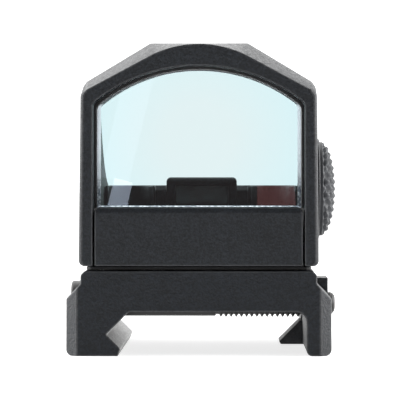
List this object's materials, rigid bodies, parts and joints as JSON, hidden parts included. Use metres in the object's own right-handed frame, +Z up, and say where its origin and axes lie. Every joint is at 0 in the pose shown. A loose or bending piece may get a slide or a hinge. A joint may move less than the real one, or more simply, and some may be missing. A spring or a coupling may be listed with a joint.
{
  "type": "red dot finder",
  "caption": "Compact open reflex red dot sight: arched hood, coated window, side brightness button, slotted-rail clamp mount.",
  "frame": {"origin": "middle of the mount's flat rail seat, on its underside", "axes": "+X towards the button side, -Y towards the objective end (the target), +Y towards the eye, +Z up"},
  "size_m": [0.0333, 0.046, 0.0371],
  "materials": {
    "anodised": "matte black bead-blasted anodising",
    "steel_black": "black oxide",
    "steel": "plain bright steel",
    "glass": "coated optical glass, red-reflecting dichroic coating",
    "rubber": "moulded matte rubber",
    "seal": "matte black sealant and gasket",
    "board": "green solder mask",
    "chip": "black moulded package",
    "contact": "bright brass",
    "led": "red clear package"
  },
  "bodies": {
    "sight": {"rail_mount": "anodised", "main_housing": "anodised", "hood": "anodised", "hood_screw_left_front": "steel_black", "hood_screw_left_rear": "steel_black", "hood_screw_right_front": "steel_black", "hood_screw_right_rear": "steel_black", "objective_lens": "glass", "lens_seal": "seal", "button_ring": "anodised", "switch_board": "board", "snap_dome": "steel", "emitter_housing": "anodised", "emitter_window": "glass", "coin_battery": "steel", "battery_contact_negative": "contact", "battery_contact_positive": "contact", "circuit_board": "board", "driver_chip": "chip", "sight_screw_left": "steel_black", "sight_screw_right": "steel_black", "locating_pin_left_front": "steel", "locating_pin_left_rear": "steel", "locating_pin_right_front": "steel", "locating_pin_right_rear": "steel", "base_gasket": "seal"},
    "button": {"brightness_button": "rubber"},
    "clamp_screw": {"clamp_screw": "steel_black"},
    "clamp_jaw": {"clamp_jaw": "anodised"},
    "windage_screw": {"windage_screw": "steel_black"},
    "windage_carriage": {"windage_carriage": "contact", "windage_spring": "steel", "elevation_spring": "steel"},
    "elevation_screw": {"elevation_screw": "steel_black"},
    "elevation_carriage": {"elevation_carriage": "contact", "led_emitter": "led"}
  },
  "joints": [
    {"name": "button_press", "type": "slide", "parent": "sight", "child": "button", "axis": [-1, 0, 0], "range_m": [0, 0.0003], "stiffness_N_per_m": 800},
    {"name": "clamp_jaw_slide", "type": "slide", "parent": "sight", "child": "clamp_jaw", "axis": [1, 0, 0], "range_m": [-0.0009, 0.001]},
    {"name": "clamp_screw_turn", "type": "hinge", "parent": "sight", "child": "clamp_screw", "pos_m": [0, 0.005, 0], "axis": [1, 0, 0], "range_deg": [-557, 502]},
    {"name": "windage_slide", "type": "slide", "parent": "sight", "child": "windage_carriage", "axis": [1, 0, 0], "range_m": [-0.0004, 0.0004]},
    {"name": "windage_screw_turn", "type": "hinge", "parent": "sight", "child": "windage_screw", "pos_m": [-0.01395, 0.015, 0.0094], "axis": [1, 0, 0], "range_deg": [-362, 362]},
    {"name": "elevation_screw_turn", "type": "hinge", "parent": "windage_carriage", "child": "elevation_screw", "pos_m": [0, 0.0192, 0.0147], "axis": [0, 0, 1], "range_deg": [-362, 362]},
    {"name": "elevation_slide", "type": "slide", "parent": "windage_carriage", "child": "elevation_carriage", "axis": [0, 0, 1], "range_m": [-0.0004, 0.0004], "deforming": ["elevation_spring"]}
  ],
  "couplings": [
    {"joint": "clamp_screw_turn", "follows": "clamp_jaw_slide", "rad_per_m": -9666.4},
    {"joint": "windage_screw_turn", "follows": "windage_slide", "rad_per_m": -15708},
    {"joint": "elevation_screw_turn", "follows": "elevation_slide", "rad_per_m": -15708}
  ]
}
